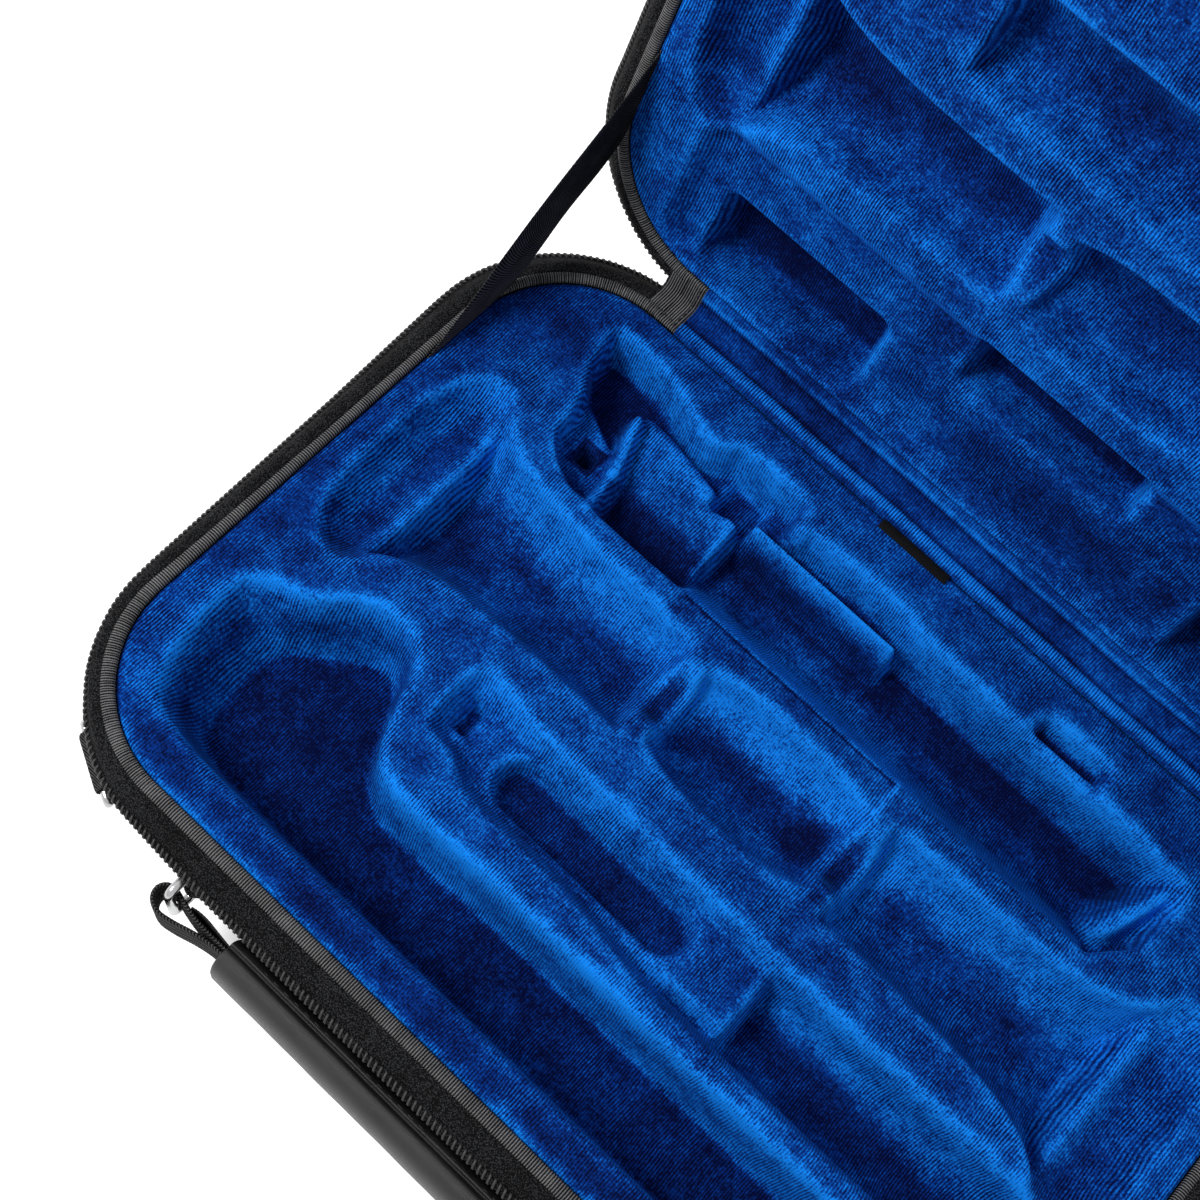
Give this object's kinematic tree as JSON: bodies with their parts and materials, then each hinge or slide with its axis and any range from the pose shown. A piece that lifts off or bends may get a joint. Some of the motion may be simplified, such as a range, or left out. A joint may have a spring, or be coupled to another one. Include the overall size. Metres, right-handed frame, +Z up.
{
  "type": "clarinet case",
  "caption": "Zippered clarinet case, open on its stay straps, with moulded velvet recesses in both halves, a carry handle, strap rings and a zip slider.",
  "frame": {"origin": "centre of the base's flat underside", "axes": "+X along the hinge, to the right seen from the handle side; +Y from the handle side to the hinge side; +Z up"},
  "size_m": [0.3851, 0.3719, 0.3049],
  "materials": {
    "shell": "black moulded skin covered in fine black cloth",
    "velvet": "royal blue plush velvet with a fine rib, over moulded foam",
    "binding": "black ribbed grosgrain",
    "zip_tape": "black woven zip tape",
    "zip_teeth": "black coil teeth",
    "seam_tab": "bare black woven tab",
    "webbing": "black twill webbing",
    "leather": "black grained leatherette, stitched",
    "ring_metal": "polished nickel wire",
    "slider_metal": "gunmetal enamel"
  },
  "bodies": {
    "base": {"base_shell": "shell", "base_liner": "velvet", "base_binding": "binding", "base_zip_tape": "zip_tape", "base_zip_teeth": "zip_teeth", "hinge_spine": "velvet", "hinge_tab_left": "binding", "hinge_tab_right": "binding", "seam_tab": "seam_tab", "stay_strap_left": "webbing", "stay_strap_right": "webbing", "handle_tab_left": "webbing", "handle_tab_right": "webbing", "side_tab_left": "webbing", "side_tab_right": "webbing"},
    "lid": {"lid_shell": "shell", "lid_liner": "velvet", "lid_binding": "binding", "lid_zip_tape": "zip_tape", "lid_zip_teeth": "zip_teeth"},
    "left_ring": {"handle_ring_left": "ring_metal"},
    "right_ring": {"handle_ring_right": "ring_metal"},
    "handle": {"handle_webbing": "webbing", "handle_grip": "leather"},
    "left_side_ring": {"side_ring_left": "ring_metal"},
    "right_side_ring": {"side_ring_right": "ring_metal"},
    "slider": {"zip_slider": "slider_metal"},
    "pull": {"zip_pull": "slider_metal"}
  },
  "joints": [
    {"name": "lid_hinge", "type": "hinge", "parent": "base", "child": "lid", "pos_m": [0, 0.1248, 0.0612], "axis": [1, 0, 0], "range_deg": [0, 104], "deforming": ["hinge_spine", "hinge_tab_left", "hinge_tab_right", "stay_strap_left", "stay_strap_right"]},
    {"name": "left_ring_swing", "type": "hinge", "parent": "base", "child": "left_ring", "pos_m": [-0.105, -0.1248, 0.036], "axis": [0, 0, 1], "range_deg": [-40, 40]},
    {"name": "right_ring_swing", "type": "hinge", "parent": "base", "child": "right_ring", "pos_m": [0.105, -0.1248, 0.036], "axis": [0, 0, 1], "range_deg": [-40, 40]},
    {"name": "handle_swing", "type": "hinge", "parent": "left_ring", "child": "handle", "pos_m": [-0.105, -0.1338, 0.036], "axis": [0, 0, 1], "range_deg": [-40, 40]},
    {"name": "left_side_ring_lift", "type": "hinge", "parent": "base", "child": "left_side_ring", "pos_m": [-0.15539, -0.11876, 0.031], "axis": [-0.891, 0.454, 0], "range_deg": [0, 140]},
    {"name": "right_side_ring_lift", "type": "hinge", "parent": "base", "child": "right_side_ring", "pos_m": [0.15539, -0.11876, 0.031], "axis": [-0.891, -0.454, 0], "range_deg": [0, 140]},
    {"name": "slider_travel", "type": "hinge", "parent": "base", "child": "slider", "pos_m": [0.13065, 0.0702, 0.0547], "axis": [0, 0, -1], "range_deg": [-48, 12]},
    {"name": "pull_lift", "type": "hinge", "parent": "slider", "child": "pull", "pos_m": [0.18983, 0.08278, 0.05655], "axis": [-0.6917, -0.147, 0.7071], "range_deg": [0, 140]}
  ],
  "couplings": [
    {"joint": "left_ring_swing", "follows": "handle_swing", "ratio": -1},
    {"joint": "right_ring_swing", "follows": "handle_swing", "ratio": -1}
  ]
}
